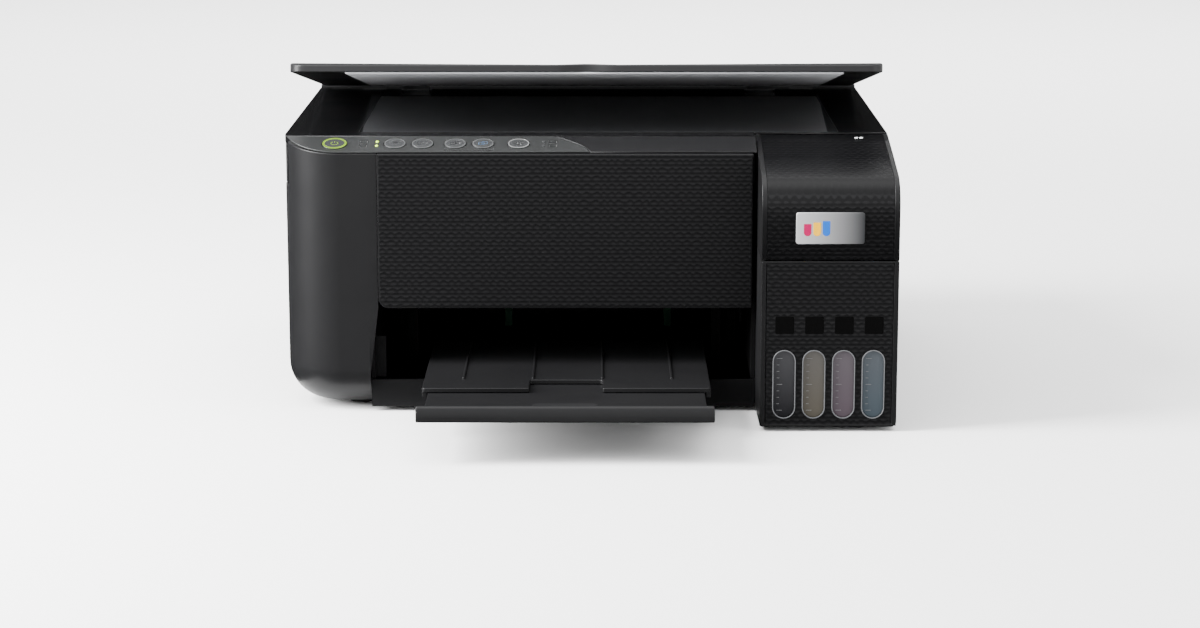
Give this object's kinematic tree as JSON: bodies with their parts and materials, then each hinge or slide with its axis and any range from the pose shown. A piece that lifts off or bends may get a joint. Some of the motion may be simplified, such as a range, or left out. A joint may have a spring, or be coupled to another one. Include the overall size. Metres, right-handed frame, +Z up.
{
  "type": "inkjet printer",
  "caption": "Flatbed all-in-one inkjet printer with a side ink tank unit, button panel, opening lid and pull-out tray.",
  "frame": {"origin": "middle of the bounding box footprint at table height, document cover open and tray out", "axes": "+X to the printer's right seen from the front, +Y towards its back, +Z up"},
  "size_m": [0.375, 0.427, 0.2132],
  "materials": {
    "casing_satin": "satin moulded casing",
    "rear_satin": "satin moulded casing",
    "cover_textured": "fine embossed texture",
    "panel_grey": "satin grey",
    "bed_gloss": "polished black",
    "lid_black": "satin black",
    "mat_grey": "smooth foam sheet",
    "inner_black": "plain moulded",
    "platen_glass": "float glass",
    "lens_clear": "clear moulded",
    "tank_clear": "smoked clear moulded",
    "cap_black": "moulded",
    "cap_yellow": "moulded",
    "cap_magenta": "moulded",
    "cap_cyan": "moulded",
    "badge_silver": "brushed plate",
    "button_grey": "satin moulded",
    "lamp_green": "lit lens",
    "rubber": "matte",
    "sheet_steel": "zinc plated",
    "polished_steel": "ground",
    "gear_plastic": "acetal",
    "board_green": "solder mask",
    "socket_black": "moulded",
    "port_metal": "plated"
  },
  "bodies": {
    "chassis": {"left_housing": "casing_satin", "right_housing": "casing_satin", "rear_cover": "rear_satin", "front_cover": "cover_textured", "tank_front_panel": "cover_textured", "control_panel": "panel_grey", "front_top_trim": "panel_grey", "base_pan": "inner_black", "slot_frame": "inner_black", "platen": "inner_black", "cap_hinge_bracket": "inner_black", "main_frame": "inner_black", "tank_window_lens": "lens_clear", "ink_tank_black": "tank_clear", "ink_tank_yellow": "tank_clear", "ink_tank_magenta": "tank_clear", "ink_tank_cyan": "tank_clear", "indicator_lamps": "lamp_green", "rubber_feet": "rubber", "timing_belt": "rubber", "carriage_motor": "sheet_steel", "feed_motor": "sheet_steel", "power_supply": "sheet_steel", "carriage_rail": "polished_steel", "main_board": "board_green", "mains_inlet": "socket_black", "data_port": "port_metal"},
    "scanner_unit": {"scanner_lower_housing": "casing_satin", "scanner_top_frame": "bed_gloss", "platen_glass": "platen_glass", "scanner_rail": "polished_steel", "cover_hinges": "inner_black"},
    "document_cover": {"document_cover": "lid_black", "document_mat": "mat_grey"},
    "scan_carriage": {"scan_carriage": "inner_black"},
    "ink_tank_cover": {"ink_tank_cover": "cover_textured", "cover_badge": "badge_silver"},
    "cap_black": {"cap_black": "cap_black"},
    "cap_yellow": {"cap_yellow": "cap_yellow"},
    "cap_magenta": {"cap_magenta": "cap_magenta"},
    "cap_cyan": {"cap_cyan": "cap_cyan"},
    "output_tray": {"output_tray": "casing_satin"},
    "tray_extension": {"tray_extension": "casing_satin"},
    "tray_stopper": {"tray_stopper": "casing_satin"},
    "paper_support": {"paper_support": "rear_satin"},
    "feeder_guard": {"feeder_guard": "rear_satin"},
    "edge_guide": {"edge_guide": "rear_satin"},
    "print_carriage": {"print_carriage": "inner_black", "print_head": "inner_black"},
    "motor_pulley": {"motor_pulley": "gear_plastic"},
    "idler_pulley": {"idler_pulley": "gear_plastic"},
    "feed_roller": {"feed_roller": "polished_steel"},
    "feed_pinion": {"feed_pinion": "gear_plastic"},
    "eject_roller": {"eject_roller": "rubber"},
    "power_button": {"power_button": "button_grey"},
    "network_button": {"network_button": "button_grey"},
    "status_button": {"status_button": "button_grey"},
    "grey_copy_button": {"grey_copy_button": "button_grey"},
    "colour_copy_button": {"colour_copy_button": "button_grey"},
    "stop_button": {"stop_button": "button_grey"}
  },
  "joints": [
    {"name": "scanner_lift", "type": "hinge", "parent": "chassis", "child": "scanner_unit", "pos_m": [0, 0.1868, 0.17], "axis": [-1, 0, 0], "range_deg": [0, 25]},
    {"name": "document_cover_hinge", "type": "hinge", "parent": "scanner_unit", "child": "document_cover", "pos_m": [0, 0.1785, 0.1738], "axis": [-1, 0, 0], "range_deg": [-9.2, 50]},
    {"name": "scan_travel", "type": "slide", "parent": "scanner_unit", "child": "scan_carriage", "axis": [1, 0, 0], "range_m": [0, 0.27]},
    {"name": "tank_cover_hinge", "type": "hinge", "parent": "chassis", "child": "ink_tank_cover", "pos_m": [0.14625, -0.1323, 0.1068], "axis": [1, 0, 0], "range_deg": [0, 80]},
    {"name": "cap_black_hinge", "type": "hinge", "parent": "chassis", "child": "cap_black", "pos_m": [0.1193, -0.079, 0.112], "axis": [-1, 0, 0], "range_deg": [0, 70]},
    {"name": "cap_yellow_hinge", "type": "hinge", "parent": "chassis", "child": "cap_yellow", "pos_m": [0.1372, -0.079, 0.112], "axis": [-1, 0, 0], "range_deg": [0, 70]},
    {"name": "cap_magenta_hinge", "type": "hinge", "parent": "chassis", "child": "cap_magenta", "pos_m": [0.1551, -0.079, 0.112], "axis": [-1, 0, 0], "range_deg": [0, 70]},
    {"name": "cap_cyan_hinge", "type": "hinge", "parent": "chassis", "child": "cap_cyan", "pos_m": [0.173, -0.079, 0.112], "axis": [-1, 0, 0], "range_deg": [0, 70]},
    {"name": "output_tray_travel", "type": "slide", "parent": "chassis", "child": "output_tray", "axis": [0, 1, 0], "range_m": [0, 0.07]},
    {"name": "tray_extension_travel", "type": "slide", "parent": "output_tray", "child": "tray_extension", "axis": [0, 1, 0], "range_m": [0, 0.057]},
    {"name": "tray_stopper_hinge", "type": "hinge", "parent": "tray_extension", "child": "tray_stopper", "pos_m": [-0.012, -0.206, 0.0293], "axis": [1, 0, 0], "range_deg": [0, 95]},
    {"name": "paper_support_travel", "type": "slide", "parent": "chassis", "child": "paper_support", "axis": [0, 0, 1], "range_m": [0, 0.085]},
    {"name": "feeder_guard_hinge", "type": "hinge", "parent": "chassis", "child": "feeder_guard", "pos_m": [0, 0.1926, 0.1699], "axis": [1, 0, 0], "range_deg": [0, 80]},
    {"name": "edge_guide_travel", "type": "slide", "parent": "chassis", "child": "edge_guide", "axis": [-1, 0, 0], "range_m": [0, 0.03]},
    {"name": "power_press", "type": "slide", "parent": "chassis", "child": "power_button", "axis": [0, 0.2815, -0.9596], "range_m": [0, 0.0006], "stiffness_N_per_m": 600},
    {"name": "network_press", "type": "slide", "parent": "chassis", "child": "network_button", "axis": [0, 0.2815, -0.9596], "range_m": [0, 0.0006], "stiffness_N_per_m": 600},
    {"name": "status_press", "type": "slide", "parent": "chassis", "child": "status_button", "axis": [0, 0.2815, -0.9596], "range_m": [0, 0.0006], "stiffness_N_per_m": 600},
    {"name": "grey_copy_press", "type": "slide", "parent": "chassis", "child": "grey_copy_button", "axis": [0, 0.2815, -0.9596], "range_m": [0, 0.0006], "stiffness_N_per_m": 600},
    {"name": "colour_copy_press", "type": "slide", "parent": "chassis", "child": "colour_copy_button", "axis": [0, 0.2815, -0.9596], "range_m": [0, 0.0006], "stiffness_N_per_m": 600},
    {"name": "stop_press", "type": "slide", "parent": "chassis", "child": "stop_button", "axis": [0, 0.2815, -0.9596], "range_m": [0, 0.0006], "stiffness_N_per_m": 600},
    {"name": "print_carriage_travel", "type": "slide", "parent": "chassis", "child": "print_carriage", "axis": [-1, 0, 0], "range_m": [0, 0.165]},
    {"name": "motor_pulley_spin", "type": "hinge", "parent": "chassis", "child": "motor_pulley", "pos_m": [0.088, 0.0972, 0.112], "axis": [0, -1, 0], "range_deg": [-10, 1640]},
    {"name": "idler_pulley_spin", "type": "hinge", "parent": "chassis", "child": "idler_pulley", "pos_m": [-0.158, 0.0972, 0.112], "axis": [0, -1, 0], "range_deg": [-10, 1640]},
    {"name": "feed_roller_spin", "type": "hinge", "parent": "chassis", "child": "feed_roller", "pos_m": [0, 0.084, 0.054], "axis": [1, 0, 0], "continuous": true},
    {"name": "feed_pinion_spin", "type": "hinge", "parent": "chassis", "child": "feed_pinion", "pos_m": [-0.1755, 0.084, 0.0788], "axis": [1, 0, 0], "continuous": true},
    {"name": "eject_roller_spin", "type": "hinge", "parent": "chassis", "child": "eject_roller", "pos_m": [0, 0.012, 0.053], "axis": [1, 0, 0], "continuous": true}
  ],
  "couplings": [
    {"joint": "motor_pulley_spin", "follows": "print_carriage_travel", "rad_per_m": 166.67},
    {"joint": "idler_pulley_spin", "follows": "print_carriage_travel", "rad_per_m": 166.67},
    {"joint": "feed_pinion_spin", "follows": "feed_roller_spin", "ratio": -4.1667},
    {"joint": "eject_roller_spin", "follows": "feed_roller_spin", "ratio": 1.25}
  ]
}
